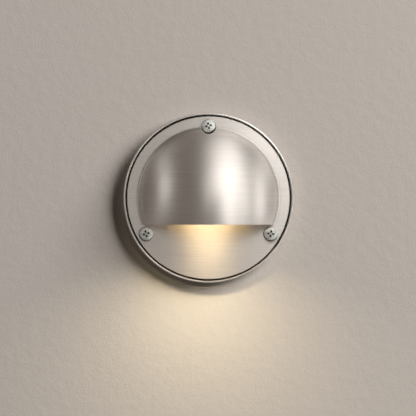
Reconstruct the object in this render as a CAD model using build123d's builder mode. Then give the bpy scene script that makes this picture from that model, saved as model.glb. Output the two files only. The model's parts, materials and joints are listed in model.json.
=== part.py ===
from build123d import *
import os
from math import atan2, cos, degrees, radians, sin, sqrt

# A round steel wall light with an eyelid hood that throws its light down the wall.
# The origin is the centre of the wall face, +Z is up, +X is the viewer's right and the front faces -Y.
# Depths are counted from the wall towards the viewer, heights along Z. Sizes are millimetres.

# Pan and its gaskets
pan_diameter = 100.0
pan_depth = 7.8
pan_sheet = 1.1
pan_back_round = 1.5
rim_round = 0.3
wall_gasket_thickness = 1.2
wall_gasket_width = 8.0
wall_gasket_inset = 2.0
cover_gasket_gap = 0.4
standoff_gap = 0.5

# Face plate and hood
rim_gap = 1.2
plate_recess = 0.2
cover_sheet = 1.2
plate_edge_chamfer = 0.3
hood_base_radius = 41.4
hood_height = 27.0
hood_foot_round = 1.2
lip_drop = 15.75

# Cover screws, their sealing washers and the posts they go into
screw_inset = 5.45
screw_thread = 4.0
screw_pitch = 0.7
screw_turns = 6
screw_head_diameter = 8.0
screw_head_height = 3.1
screw_head_side = 2.4
screw_shoulder_round = 1.0
recess_span = 4.4
recess_width = 1.1
recess_depth = 2.1
recess_taper = 0.35
screw_tip_chamfer = 0.5
screw_hole_gap = 0.25
screw_pocket_gap = 0.85
thread_gap = 0.06
washer_diameter = 7.6
washer_thickness = 0.6
standoff_diameter = 7.0
standoff_shank = 5.4
standoff_end_wall = 0.6

# Wall slots and cable grommet
slot_spacing = 60.0
slot_width = 4.5
slot_length = 8.0
cable_bore = 4.5
grommet_wall = 1.5
grommet_flange = 1.3
grommet_flange_thickness = 1.0
grommet_lead_in = 0.3
grommet_drop = 1.0

# Lamp: tray, lens, reflector, LED board and bracket
hood_clearance = 2.0
tray_edge_gap = 0.8
tray_recess = 7.0
tray_sheet = 1.0
tray_overlap = 2.0
tray_plate_gap = 0.5
lens_window_length = 30.0
lens_window_width = 10.0
lens_flange_margin = 2.0
lens_flange_thickness = 1.5
lens_stand_out = 0.4
lens_gasket_thickness = 0.8
reflector_height = 6.0
reflector_throat_length = 27.0
reflector_throat_width = 6.0
lamp_ear = 5.0
led_board_thickness = 1.2
led_board_margin = 0.5
led_count = 3
led_pitch = 9.0
led_size = 3.0
led_height = 0.8
led_window = 2.3
led_window_depth = 0.3
thermal_pad_thickness = 0.5
bracket_sheet = 2.0
bracket_bend = 1.0
bracket_corner = 5.0
bracket_head_room = 3.0
rivet_spacing = 18.0
rivet_shank = 3.2
rivet_head = 6.0
rivet_head_height = 1.0
rivet_tail = 5.0
tray_screw_thread = 3.0
tray_screw_head = 5.5
tray_screw_head_height = 1.9
tray_screw_socket = 2.6
tray_screw_socket_depth = 1.0

# Driver board and what is on it
driver_thickness = 1.6
driver_lift = 2.0
driver_shelf_gap = 3.0
driver_hood_gap = 7.0
driver_screw_inset = 3.0
driver_screw_thread = 2.5
driver_screw_head = 4.6
driver_screw_head_height = 1.6
driver_spacer_diameter = 4.6
part_gap = 0.6
coil_diameter = 9.0
coil_height = 6.0
coil_flange = 1.0
coil_waist = 5.5
winding_diameter = 7.8
capacitor_diameter = 6.3
capacitor_height = 8.0
capacitor_crimp = 0.35
capacitor_crimp_lift = 1.0
capacitor_crimp_width = 0.7
chip_length = 5.0
chip_width = 4.0
chip_height = 1.6
chip_chamfer = 0.3
chip_row_gap = 2.5
terminal_width = 7.0
terminal_length = 8.4
terminal_height = 8.0
terminal_entry = 2.4
terminal_entry_depth = 5.0
terminal_chamfer = 0.8
terminal_pitch = 4.0
socket_length = 6.0
socket_width = 4.6
socket_height = 3.2
lead_diameter = 1.4
lead_pitch = 1.6
lead_bend = 2.6
lead_side_gap = 1.0

# Sliding and seating clearances
hole_gap = 0.2
seat_gap = 0.05

# Depths, counted from the wall
pan_radius = pan_diameter / 2
pan_inner_radius = pan_radius - pan_sheet
pan_back = wall_gasket_thickness
pan_floor = pan_back + pan_sheet
rim_front = pan_back + pan_depth
plate_front = rim_front - plate_recess
plate_back = plate_front - cover_sheet
plate_radius = pan_inner_radius - rim_gap

# The hood is part of a ball, which runs into the plate through a round foot
ball_radius = (hood_base_radius**2 + hood_height**2) / (2 * hood_height)
ball_depth = plate_front + hood_height - ball_radius
ball_inner_radius = ball_radius - cover_sheet
foot_depth = plate_front + hood_foot_round
foot_radius = sqrt((ball_radius + hood_foot_round) ** 2 - (foot_depth - ball_depth) ** 2)
foot_angle = degrees(atan2(foot_depth - ball_depth, foot_radius))

# Cover screws sit on one circle, one at the top and two under the ends of the lip
screw_circle_radius = plate_radius - screw_inset
recess_angles = {"top": 12, "left": 15, "right": -8}
screw_step_angle = 360 / len(recess_angles)
screw_points = {}
for place, side in enumerate(recess_angles):
    screw_angle = radians(90 + place * screw_step_angle)
    screw_points[side] = (screw_circle_radius * cos(screw_angle), screw_circle_radius * sin(screw_angle))
screw_radius = screw_thread / 2
screw_seat = plate_front + washer_thickness
screw_tip = plate_back - screw_turns * screw_pitch
screw_pocket_radius = screw_head_diameter / 2 + screw_pocket_gap

# Heights of the lamp, stacked from the tray up to the bracket's shelf
tray_under = tray_recess - lip_drop
tray_top = tray_under + tray_sheet
lens_flange_under = tray_top + lens_gasket_thickness
lens_flange_top = lens_flange_under + lens_flange_thickness
reflector_top = lens_flange_top + reflector_height
led_board_top = reflector_top + led_board_thickness
shelf_under = led_board_top + thermal_pad_thickness
shelf_top = shelf_under + bracket_sheet

# The lamp stands as far forward as the hood leaves room for
lens_flange_length = lens_window_length + 2 * lens_flange_margin
lamp_width = lens_window_width + 2 * lens_flange_margin
lamp_length = lens_flange_length + 2 * lamp_ear
lamp_front = ball_depth - hood_clearance + sqrt(ball_inner_radius**2 - (lamp_length / 2) ** 2 - tray_under**2)
lamp_depth = lamp_front - lamp_width / 2
lamp_back = lamp_depth - lamp_width / 2
tray_screw_x = lens_flange_length / 2 + lamp_ear / 2
tray_screw_points = [(-tray_screw_x, lamp_depth), (tray_screw_x, lamp_depth)]
tray_screw_radius = tray_screw_thread / 2

# The driver board is as wide as what stands on it, and fills the room between shelf and hood
capacitor_pitch = capacitor_diameter + part_gap
driver_width = (
    terminal_width + coil_diameter + 2 * capacitor_pitch + 2 * part_gap + driver_screw_head + part_gap
)
bracket_front = pan_floor + bracket_sheet
driver_back = bracket_front + driver_lift
driver_front = driver_back + driver_thickness
driver_bottom = shelf_top + driver_shelf_gap
driver_top = sqrt((hood_base_radius - driver_hood_gap) ** 2 - (driver_width / 2) ** 2)
driver_height = driver_top - driver_bottom
driver_middle = (driver_top + driver_bottom) / 2
driver_screw_x = driver_width / 2 - driver_screw_inset
driver_screw_points = [
    (-driver_screw_x, driver_bottom + driver_screw_inset),
    (driver_screw_x, driver_top - driver_screw_inset),
]
bracket_top = driver_top + bracket_head_room

grommet_radius = cable_bore / 2 + grommet_wall
grommet_outer_radius = grommet_radius + grommet_flange
grommet_height = shelf_under - grommet_drop - grommet_outer_radius

# Leads run from the right end of the LED socket, behind the lamp, to the driver's socket
led_socket_depth = lamp_back - part_gap - socket_height / 2
output_socket_depth = driver_front + socket_height / 2
output_socket_x = driver_width / 2 - socket_length / 2
output_socket_height = driver_bottom + part_gap + socket_width / 2
led_socket_x = lamp_length / 4
led_socket_height = reflector_top - socket_width / 2
lead_x = lamp_length / 2 + lead_side_gap + lead_diameter / 2


def front(depth):
    """Upright plane at a depth: sketches are seen from the front, extrusions run to the viewer."""
    return Plane.XZ.offset(depth)


def level(height):
    """Flat plane at a height: its x is the viewer's right, its y the depth, and extrusions run down."""
    return Plane(origin=(0, 0, height), x_dir=(1, 0, 0), z_dir=(0, 0, -1))


def save(piece, name):
    """Name a finished piece and write it."""
    piece.part.label = name
    export_step(piece.part, f"parts/{name}.step")


os.makedirs("parts", exist_ok=True)

# Foam ring that seals the pan to the wall
with BuildPart() as wall_gasket:
    with BuildSketch(front(0)):
        Circle(pan_radius - wall_gasket_inset)
        Circle(pan_radius - wall_gasket_inset - wall_gasket_width, mode=Mode.SUBTRACT)
    extrude(amount=wall_gasket_thickness)
save(wall_gasket, "wall_gasket")

# Shallow pan of drawn sheet, with two wall slots, the cable hole and the holes for posts and rivets
rivet_points = [(-rivet_spacing / 2, driver_middle), (rivet_spacing / 2, driver_middle)]
with BuildPart() as back_pan:
    with BuildSketch(front(pan_back)):
        Circle(pan_radius)
    extrude(amount=pan_depth)
    fillet(back_pan.edges().sort_by(Axis.Y)[-1], pan_back_round)
    with BuildSketch(front(pan_floor)):
        Circle(pan_inner_radius)
    extrude(amount=pan_depth, mode=Mode.SUBTRACT)
    fillet(back_pan.faces().sort_by(Axis.Y)[0].edges(), rim_round)
    with BuildSketch(front(pan_back)):
        with GridLocations(slot_spacing, 0, 2, 1):
            SlotOverall(slot_length, slot_width)
        with Locations((0, grommet_height)):
            Circle(grommet_radius + seat_gap)
        with Locations(*screw_points.values()):
            Circle(standoff_shank / 2 + seat_gap)
        with Locations(*rivet_points):
            Circle(rivet_shank / 2 + seat_gap)
    extrude(amount=pan_sheet, mode=Mode.SUBTRACT)
save(back_pan, "back_pan")

# Black seal ring in the corner of the pan, which the face plate presses on
with BuildPart() as cover_gasket:
    with BuildSketch(front(pan_floor)):
        Circle(pan_inner_radius - cover_gasket_gap)
        Circle(screw_circle_radius + standoff_diameter / 2 + standoff_gap, mode=Mode.SUBTRACT)
    extrude(amount=plate_back - pan_floor)
save(cover_gasket, "cover_gasket")

# Threaded posts clinched into the pan's floor, closed at the back
with BuildPart() as cover_standoffs:
    with BuildSketch(front(pan_floor)):
        with Locations(*screw_points.values()):
            Circle(standoff_diameter / 2)
    extrude(amount=plate_back - pan_floor)
    with BuildSketch(front(pan_back)):
        with Locations(*screw_points.values()):
            Circle(standoff_shank / 2)
    extrude(amount=pan_sheet)
    with BuildSketch(front(pan_back + standoff_end_wall)):
        with Locations(*screw_points.values()):
            Circle(screw_radius + thread_gap)
    extrude(amount=plate_back - pan_back, mode=Mode.SUBTRACT)
save(cover_standoffs, "cover_standoffs")

# Rubber grommet that snaps into the pan's floor and grips the supply cable
with BuildPart() as cable_grommet:
    with BuildSketch(front(pan_back - grommet_flange_thickness)):
        with Locations((0, grommet_height)):
            Circle(grommet_outer_radius)
    extrude(amount=grommet_flange_thickness)
    with BuildSketch(front(pan_back)):
        with Locations((0, grommet_height)):
            Circle(grommet_radius)
    extrude(amount=pan_sheet)
    with BuildSketch(front(pan_floor)):
        with Locations((0, grommet_height)):
            Circle(grommet_outer_radius)
    extrude(amount=grommet_flange_thickness)
    outer_rims = cable_grommet.edges().filter_by(GeomType.CIRCLE).sort_by(Axis.Y)
    fillet([outer_rims[0], outer_rims[-1]], grommet_lead_in)
    with BuildSketch(front(pan_back - grommet_flange_thickness)):
        with Locations((0, grommet_height)):
            Circle(cable_bore / 2)
    extrude(amount=pan_sheet + 2 * grommet_flange_thickness, mode=Mode.SUBTRACT)
save(cable_grommet, "cable_grommet")

# Folded aluminium bracket: the leg stands on the pan's floor, the shelf reaches out over the lamp
with BuildPart() as bracket:
    with BuildSketch(Plane.YZ.offset(-lamp_length / 2)):
        with BuildLine():
            Polyline(
                (-pan_floor, bracket_top),
                (-pan_floor, shelf_under),
                (-lamp_front, shelf_under),
                (-lamp_front, shelf_top),
                (-bracket_front, shelf_top),
                (-bracket_front, bracket_top),
                close=True,
            )
        make_face()
    extrude(amount=lamp_length)
    folds = bracket.edges().filter_by(Axis.X)
    inner_fold = folds.sort_by_distance((0, -bracket_front, shelf_top))[0]
    outer_fold = folds.sort_by_distance((0, -pan_floor, shelf_under))[0]
    fillet(inner_fold, bracket_bend)
    fillet(outer_fold, bracket_bend + bracket_sheet)
    fillet(bracket.edges().filter_by(Axis.Y).group_by(Axis.Z)[-1], bracket_corner)
    with BuildSketch(front(pan_floor)):
        with Locations(*rivet_points):
            Circle(rivet_shank / 2 + seat_gap)
        with Locations(*driver_screw_points):
            Circle(driver_screw_thread / 2 + thread_gap)
    extrude(amount=bracket_sheet, mode=Mode.SUBTRACT)
    with BuildSketch(level(shelf_top)):
        with Locations(*tray_screw_points):
            Circle(tray_screw_radius + thread_gap)
    extrude(amount=bracket_sheet, mode=Mode.SUBTRACT)
save(bracket, "bracket")

# Blind rivets through bracket and pan floor, with their tails in the thickness of the wall gasket
with BuildPart() as bracket_rivets:
    with BuildSketch(front(bracket_front)):
        with Locations(*rivet_points):
            Circle(rivet_head / 2)
    extrude(amount=rivet_head_height)
    fillet(bracket_rivets.faces().sort_by(Axis.Y)[:len(rivet_points)].edges(), rivet_head_height / 2)
    with BuildSketch(front(pan_back)):
        with Locations(*rivet_points):
            Circle(rivet_shank / 2)
    extrude(amount=bracket_front - pan_back)
    with BuildSketch(front(pan_back - rivet_head_height)):
        with Locations(*rivet_points):
            Circle(rivet_tail / 2)
    extrude(amount=rivet_head_height)
save(bracket_rivets, "bracket_rivets")

# Soft pad that carries the heat from the LED board into the shelf
with BuildPart() as thermal_pad:
    with BuildSketch(level(shelf_under)):
        with Locations((0, lamp_depth)):
            Rectangle(lamp_length - 2 * led_board_margin, lamp_width - 2 * led_board_margin)
        with Locations(*tray_screw_points):
            Circle(tray_screw_radius + hole_gap, mode=Mode.SUBTRACT)
    extrude(amount=thermal_pad_thickness)
save(thermal_pad, "thermal_pad")

# LED board with a tail at its back for the socket
led_points = [((place - (led_count - 1) / 2) * led_pitch, lamp_depth) for place in range(led_count)]
led_tail_back = led_socket_depth - socket_height / 2
led_tail_front = lamp_depth
with BuildPart() as led_board:
    with BuildSketch(level(led_board_top)):
        with Locations((0, lamp_depth)):
            Rectangle(lamp_length - 2 * led_board_margin, lamp_width - 2 * led_board_margin)
        with Locations((led_socket_x, (led_tail_back + led_tail_front) / 2)):
            Rectangle(socket_length + 2 * led_board_margin, led_tail_front - led_tail_back)
        with Locations(*tray_screw_points):
            Circle(tray_screw_radius + hole_gap, mode=Mode.SUBTRACT)
    extrude(amount=led_board_thickness)
save(led_board, "led_board")

# White LED packages on the underside of the board, each with a sunk window
with BuildPart() as led_packages:
    with BuildSketch(level(reflector_top)):
        with Locations(*led_points):
            Rectangle(led_size, led_size)
    extrude(amount=led_height)
    with BuildSketch(level(reflector_top - led_height + led_window_depth)):
        with Locations(*led_points):
            Circle(led_window / 2)
    extrude(amount=led_window_depth, mode=Mode.SUBTRACT)
save(led_packages, "led_packages")

# Phosphor fill in the windows of the LED packages
with BuildPart() as led_phosphors:
    with BuildSketch(level(reflector_top - led_height + led_window_depth)):
        with Locations(*led_points):
            Circle(led_window / 2 - seat_gap)
    extrude(amount=led_window_depth)
save(led_phosphors, "led_phosphors")

# Socket on the tail of the LED board, for the two leads
with BuildPart() as led_socket:
    with BuildSketch(level(reflector_top)):
        with Locations((led_socket_x, led_socket_depth)):
            Rectangle(socket_length, socket_height)
    extrude(amount=socket_width)
save(led_socket, "led_socket")

# White frame between LED board and lens, with a flared window and an ear at each end
with BuildPart() as reflector:
    with BuildSketch(level(reflector_top)):
        with Locations((0, lamp_depth)):
            Rectangle(lamp_length, lamp_width)
    extrude(amount=reflector_top - tray_top)
    with BuildSketch(level(lens_flange_top)):
        with Locations((0, lamp_depth)):
            Rectangle(lens_flange_length + 2 * hole_gap, lamp_width)
    extrude(amount=lens_flange_top - tray_top, mode=Mode.SUBTRACT)
    with BuildSketch(level(reflector_top)):
        with Locations((0, lamp_depth)):
            Rectangle(reflector_throat_length, reflector_throat_width)
    with BuildSketch(level(lens_flange_top)):
        with Locations((0, lamp_depth)):
            Rectangle(lens_window_length, lens_window_width)
    loft(mode=Mode.SUBTRACT)
    with BuildSketch(level(reflector_top)):
        with Locations(*tray_screw_points):
            Circle(tray_screw_radius + hole_gap)
    extrude(amount=reflector_top - tray_top, mode=Mode.SUBTRACT)
save(reflector, "reflector")

# Frosted lens, whose flange is clamped over the tray's window
with BuildPart() as lens:
    with BuildSketch(level(lens_flange_top)):
        with Locations((0, lamp_depth)):
            Rectangle(lens_flange_length, lamp_width)
    extrude(amount=lens_flange_thickness)
    with BuildSketch(level(lens_flange_under)):
        with Locations((0, lamp_depth)):
            Rectangle(lens_window_length - 2 * hole_gap, lens_window_width - 2 * hole_gap)
    extrude(amount=lens_flange_under - tray_under + lens_stand_out)
save(lens, "lens")

# Seal between lens flange and tray
with BuildPart() as lens_gasket:
    with BuildSketch(level(lens_flange_under)):
        with Locations((0, lamp_depth)):
            Rectangle(lens_flange_length, lamp_width)
            Rectangle(lens_window_length, lens_window_width, mode=Mode.SUBTRACT)
    extrude(amount=lens_gasket_thickness)
save(lens_gasket, "lens_gasket")

# White tray that closes the hood above its mouth, with a skirt down behind the plate's edge
tray_front = plate_back - tray_plate_gap
tray_arc_radius = sqrt(ball_inner_radius**2 - tray_under**2) - tray_edge_gap
tray_half_width = sqrt(tray_arc_radius**2 - (tray_front - ball_depth) ** 2)
with BuildPart() as lamp_tray:
    with BuildSketch(level(tray_top)):
        with Locations((0, ball_depth)):
            Circle(tray_arc_radius)
        with Locations((0, tray_front - tray_sheet)):
            Rectangle(
                2 * tray_arc_radius,
                tray_arc_radius,
                align=(Align.CENTER, Align.MIN),
                mode=Mode.INTERSECT,
            )
        with Locations((0, lamp_depth)):
            Rectangle(lens_window_length, lens_window_width, mode=Mode.SUBTRACT)
        with Locations(*tray_screw_points):
            Circle(tray_screw_radius + hole_gap, mode=Mode.SUBTRACT)
    extrude(amount=tray_sheet)
    with BuildSketch(front(tray_front - tray_sheet)):
        with Locations((0, tray_top)):
            Rectangle(
                2 * tray_half_width,
                tray_top + lip_drop + tray_overlap,
                align=(Align.CENTER, Align.MAX),
            )
        with Locations(*screw_points.values()):
            Circle(standoff_diameter / 2 + standoff_gap, mode=Mode.SUBTRACT)
    extrude(amount=tray_sheet)
save(lamp_tray, "lamp_tray")

# Two screws that clamp tray, lens, reflector and LED board up to the shelf
with BuildPart() as tray_screws:
    with BuildSketch(level(shelf_top)):
        with Locations(*tray_screw_points):
            Circle(tray_screw_radius)
    extrude(amount=shelf_top - tray_under)
    with BuildSketch(level(tray_under)):
        with Locations(*tray_screw_points):
            Circle(tray_screw_head / 2)
    extrude(amount=tray_screw_head_height)
    head_rims = tray_screws.faces().sort_by(Axis.Z)[: len(tray_screw_points)].edges()
    fillet(head_rims, tray_screw_head_height / 2)
    with BuildSketch(level(tray_under - tray_screw_head_height + tray_screw_socket_depth)):
        with Locations(*tray_screw_points):
            RegularPolygon(tray_screw_socket / 2, 6)
    extrude(amount=tray_screw_socket_depth, mode=Mode.SUBTRACT)
save(tray_screws, "tray_screws")

# Driver circuit board, screwed through two spacers to the bracket's leg
with BuildPart() as driver_board:
    with BuildSketch(front(driver_back)):
        with Locations((0, driver_middle)):
            RectangleRounded(driver_width, driver_height, driver_screw_inset / 2)
        with Locations(*driver_screw_points):
            Circle(driver_screw_thread / 2 + hole_gap, mode=Mode.SUBTRACT)
    extrude(amount=driver_thickness)
save(driver_board, "driver_board")

with BuildPart() as driver_spacers:
    with BuildSketch(front(bracket_front)):
        with Locations(*driver_screw_points):
            Circle(driver_spacer_diameter / 2)
            Circle(driver_screw_thread / 2 + hole_gap, mode=Mode.SUBTRACT)
    extrude(amount=driver_lift)
save(driver_spacers, "driver_spacers")

with BuildPart() as driver_screws:
    with BuildSketch(front(pan_floor)):
        with Locations(*driver_screw_points):
            Circle(driver_screw_thread / 2)
    extrude(amount=driver_front - pan_floor)
    with BuildSketch(front(driver_front)):
        with Locations(*driver_screw_points):
            Circle(driver_screw_head / 2)
    extrude(amount=driver_screw_head_height)
    driver_head_rims = driver_screws.faces().sort_by(Axis.Y)[: len(driver_screw_points)].edges()
    fillet(driver_head_rims, driver_screw_head_height / 2)
save(driver_screws, "driver_screws")

# Drum coil: a ferrite core with two flanges, and its winding between them
coil_x = terminal_width - driver_width / 2 + part_gap + coil_diameter / 2
coil_point = (coil_x, driver_top - part_gap - coil_diameter / 2)
with BuildPart() as coil_core:
    with BuildSketch(front(driver_front)):
        with Locations(coil_point):
            Circle(coil_diameter / 2)
    extrude(amount=coil_height)
    with BuildSketch(front(driver_front + coil_flange)):
        with Locations(coil_point):
            Circle(coil_diameter / 2)
            Circle(coil_waist / 2, mode=Mode.SUBTRACT)
    extrude(amount=coil_height - 2 * coil_flange, mode=Mode.SUBTRACT)
save(coil_core, "coil_core")

with BuildPart() as coil_winding:
    with BuildSketch(front(driver_front + coil_flange)):
        with Locations(coil_point):
            Circle(winding_diameter / 2)
            Circle(coil_waist / 2 + seat_gap, mode=Mode.SUBTRACT)
    extrude(amount=coil_height - 2 * coil_flange)
save(coil_winding, "coil_winding")

# Two smoothing capacitors, each with a crimped waist near the board
capacitor_x = coil_x + coil_diameter / 2 + capacitor_pitch + part_gap / 2
capacitor_point = (capacitor_x, driver_top - part_gap - coil_diameter / 2)
with BuildPart() as driver_capacitors:
    with BuildSketch(front(driver_front)):
        with Locations(capacitor_point):
            with GridLocations(capacitor_pitch, 0, 2, 1):
                Circle(capacitor_diameter / 2)
    extrude(amount=capacitor_height)
    fillet(driver_capacitors.faces().sort_by(Axis.Y)[:2].edges(), capacitor_crimp)
    with BuildSketch(front(driver_front + capacitor_crimp_lift)):
        with Locations(capacitor_point):
            with GridLocations(capacitor_pitch, 0, 2, 1):
                Circle(capacitor_diameter / 2)
                Circle(capacitor_diameter / 2 - capacitor_crimp, mode=Mode.SUBTRACT)
    extrude(amount=capacitor_crimp_width, mode=Mode.SUBTRACT)
save(driver_capacitors, "driver_capacitors")

# Rectifier and control chip, in a row along the board's lower edge
with BuildPart() as driver_chips:
    with BuildSketch(front(driver_front)):
        with Locations((0, driver_bottom + part_gap + chip_width / 2)):
            with GridLocations(chip_length + chip_row_gap, 0, 2, 1):
                Rectangle(chip_length, chip_width)
    extrude(amount=chip_height)
    chamfer(driver_chips.faces().sort_by(Axis.Y)[:2].edges(), chip_chamfer)
save(driver_chips, "driver_chips")

# Push-in terminal for the supply wires, which go in from the left
terminal_x = terminal_width / 2 - driver_width / 2
terminal_z = driver_top - part_gap - terminal_length / 2
with BuildPart() as supply_terminal:
    with BuildSketch(front(driver_front)):
        with Locations((terminal_x, terminal_z)):
            Rectangle(terminal_width, terminal_length)
    extrude(amount=terminal_height)
    chamfer(supply_terminal.faces().sort_by(Axis.Y)[0].edges(), terminal_chamfer)
    with BuildSketch(Plane.YZ.offset(-driver_width / 2)):
        with Locations((-driver_front - terminal_height / 2, terminal_z)):
            with GridLocations(0, terminal_pitch, 1, 2):
                Circle(terminal_entry / 2)
    extrude(amount=terminal_entry_depth, mode=Mode.SUBTRACT)
save(supply_terminal, "supply_terminal")

# Socket at the driver board's right edge, for the leads to the LEDs
with BuildPart() as output_socket:
    with BuildSketch(front(driver_front)):
        with Locations((output_socket_x, output_socket_height)):
            Rectangle(socket_length, socket_width)
    extrude(amount=socket_height)
save(output_socket, "output_socket")

# Two leads that leave the LED socket to the right, climb past the shelf's end and turn back to the driver
lead_starts = {"lead_red": lead_pitch / 2, "lead_black": -lead_pitch / 2}
for lead_name, offset_in in lead_starts.items():
    start_x = led_socket_x + socket_length / 2
    end_x = output_socket_x + socket_length / 2
    turn_x = lead_x + lead_pitch / 2 - offset_in
    low = led_socket_height + offset_in
    high = output_socket_height - offset_in
    with BuildPart() as lead:
        with BuildLine():
            route = FilletPolyline(
                (start_x, -led_socket_depth, low),
                (turn_x, -led_socket_depth, low),
                (turn_x, -output_socket_depth, high),
                (end_x, -output_socket_depth, high),
                radius=lead_bend,
            )
        with BuildSketch(Plane(origin=route @ 0, z_dir=route % 0)):
            Circle(lead_diameter / 2)
        sweep(path=route)
    save(lead, lead_name)

# Everything between the plane of the plate's back and the front of plate and hood, from the lip upwards
with BuildPart() as hood_space:
    with BuildSketch(level(0)):
        with BuildLine():
            foot = CenterArc((foot_radius, foot_depth), hood_foot_round, -90, foot_angle - 90)
            ball = CenterArc((0, ball_depth), ball_radius, foot_angle, 90 - foot_angle)
            Polyline(
                ball @ 1,
                (0, plate_back),
                (plate_radius, plate_back),
                (plate_radius, plate_front),
                foot @ 0,
            )
        make_face()
    revolve(axis=Axis.Y)
    split(bisect_by=Plane.XY.offset(-lip_drop), keep=Keep.TOP)

# Wall of the round pocket that the hood leaves for the top screw's head
with BuildPart() as pocket_wall:
    with BuildSketch(front(plate_back)):
        with Locations(screw_points["top"]):
            Circle(screw_pocket_radius + cover_sheet)
    extrude(amount=hood_height)
    add(hood_space.part, mode=Mode.INTERSECT)

# Face plate with the hood pressed out of the same sheet, and cut off straight at the lip
with BuildPart() as face_plate:
    with BuildSketch(level(0)):
        with BuildLine():
            foot_out = CenterArc((foot_radius, foot_depth), hood_foot_round, -90, foot_angle - 90)
            ball_out = CenterArc((0, ball_depth), ball_radius, foot_angle, 90 - foot_angle)
            foot_in_radius = hood_foot_round + cover_sheet
            foot_in = CenterArc((foot_radius, foot_depth), foot_in_radius, -90, foot_angle - 90)
            ball_in = CenterArc((0, ball_depth), ball_inner_radius, foot_angle, 90 - foot_angle)
            Line(ball_out @ 1, ball_in @ 1)
            Polyline(foot_out @ 0, (plate_radius, plate_front), (plate_radius, plate_back), foot_in @ 0)
        make_face()
    revolve(axis=Axis.Y)
    split(bisect_by=Plane.XY.offset(-lip_drop), keep=Keep.TOP)
    add(pocket_wall.part)
    with BuildSketch(front(plate_back)):
        Circle(plate_radius)
        with Locations((0, -lip_drop)):
            Rectangle(
                2 * plate_radius,
                2 * plate_radius,
                align=(Align.CENTER, Align.MAX),
                mode=Mode.INTERSECT,
            )
    extrude(amount=cover_sheet)
    with BuildSketch(front(plate_front)):
        with Locations(screw_points["top"]):
            Circle(screw_pocket_radius)
    extrude(amount=hood_height, mode=Mode.SUBTRACT)
    with BuildSketch(front(plate_back)):
        with Locations(*screw_points.values()):
            Circle(screw_radius + screw_hole_gap)
    extrude(amount=cover_sheet, mode=Mode.SUBTRACT)
    outer_edges = face_plate.edges().filter_by(GeomType.CIRCLE)
    front_edges = [
        edge
        for edge in outer_edges
        if abs(edge.radius - plate_radius) < seat_gap and abs(edge.center().Y + plate_front) < seat_gap
    ]
    chamfer(front_edges, plate_edge_chamfer)
save(face_plate, "face_plate")

# Cover screws with a cross recess, and the sealing washers under their heads
for side, (screw_x, screw_z) in screw_points.items():
    with BuildPart() as screw_washer:
        with BuildSketch(front(plate_front)):
            with Locations((screw_x, screw_z)):
                Circle(washer_diameter / 2)
                Circle(screw_radius + thread_gap, mode=Mode.SUBTRACT)
        extrude(amount=washer_thickness)
    save(screw_washer, f"screw_washer_{side}")

    head_plane = Plane(origin=(screw_x, -screw_seat, screw_z), x_dir=(1, 0, 0), z_dir=(0, 0, -1))
    recess_plane = Plane(
        origin=(screw_x, -screw_seat - screw_head_height, screw_z),
        x_dir=(cos(radians(recess_angles[side])), 0, sin(radians(recess_angles[side]))),
        z_dir=(0, -1, 0),
    )
    with BuildPart() as cover_screw:
        with BuildSketch(head_plane):
            with BuildLine():
                Polyline((0, screw_head_height), (0, 0), (screw_head_diameter / 2, 0))
                Line((screw_head_diameter / 2, 0), (screw_head_diameter / 2, screw_head_side))
                crown_rise = screw_head_height - screw_head_side
                crown_radius = (screw_head_diameter**2 / 4 + crown_rise**2) / (2 * crown_rise)
                RadiusArc((screw_head_diameter / 2, screw_head_side), (0, screw_head_height), -crown_radius)
            make_face()
        revolve(axis=Axis((screw_x, 0, screw_z), (0, 1, 0)))
        shoulders = [
            edge
            for edge in cover_screw.edges().filter_by(GeomType.CIRCLE)
            if abs(edge.center().Y + screw_seat + screw_head_side) < seat_gap
        ]
        fillet(shoulders, screw_shoulder_round)
        with BuildSketch(front(screw_tip)):
            with Locations((screw_x, screw_z)):
                Circle(screw_radius)
        extrude(amount=screw_seat - screw_tip)
        chamfer(cover_screw.faces().sort_by(Axis.Y)[-1].edges(), screw_tip_chamfer)
        for bar_turn in (0, 90):
            with BuildSketch(recess_plane.rotated((0, 0, bar_turn))):
                Rectangle(recess_span, recess_width)
            with BuildSketch(recess_plane.rotated((0, 0, bar_turn)).offset(-recess_depth)):
                Rectangle(recess_span * recess_taper, recess_width * recess_taper)
            loft(mode=Mode.SUBTRACT)
    save(cover_screw, f"cover_screw_{side}")
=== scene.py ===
import json
import math

import bmesh
import bpy
from mathutils import Matrix, Vector

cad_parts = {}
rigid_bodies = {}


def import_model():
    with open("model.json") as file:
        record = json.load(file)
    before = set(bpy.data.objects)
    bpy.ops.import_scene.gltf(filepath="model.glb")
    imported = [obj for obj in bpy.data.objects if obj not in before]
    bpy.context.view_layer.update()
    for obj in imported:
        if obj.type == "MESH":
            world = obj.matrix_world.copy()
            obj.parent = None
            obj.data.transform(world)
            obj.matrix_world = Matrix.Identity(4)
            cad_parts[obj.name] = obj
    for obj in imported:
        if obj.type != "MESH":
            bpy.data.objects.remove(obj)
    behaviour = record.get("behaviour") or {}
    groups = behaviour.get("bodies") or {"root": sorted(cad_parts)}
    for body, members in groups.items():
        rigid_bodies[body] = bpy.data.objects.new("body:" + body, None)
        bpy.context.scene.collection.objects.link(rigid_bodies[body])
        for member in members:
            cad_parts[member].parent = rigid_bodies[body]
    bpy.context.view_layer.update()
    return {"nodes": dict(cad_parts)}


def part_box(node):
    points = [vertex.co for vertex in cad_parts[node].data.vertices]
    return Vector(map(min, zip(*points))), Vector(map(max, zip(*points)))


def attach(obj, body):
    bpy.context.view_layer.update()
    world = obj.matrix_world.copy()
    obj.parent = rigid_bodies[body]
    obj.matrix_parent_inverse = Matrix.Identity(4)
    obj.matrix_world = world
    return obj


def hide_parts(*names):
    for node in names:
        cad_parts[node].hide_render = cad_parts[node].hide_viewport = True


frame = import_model()
nodes = frame["nodes"]

# Back pan
# A shallow round dish, deep drawn from 1.1 mm stainless sheet and ground on a lathe, so its
# scratches run round the axis. Two screws through its slots hold it to the wall.
MM = 0.001
STAINLESS = (0.70, 0.67, 0.635)
GRIND_RADIUS = 50 * MM


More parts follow.
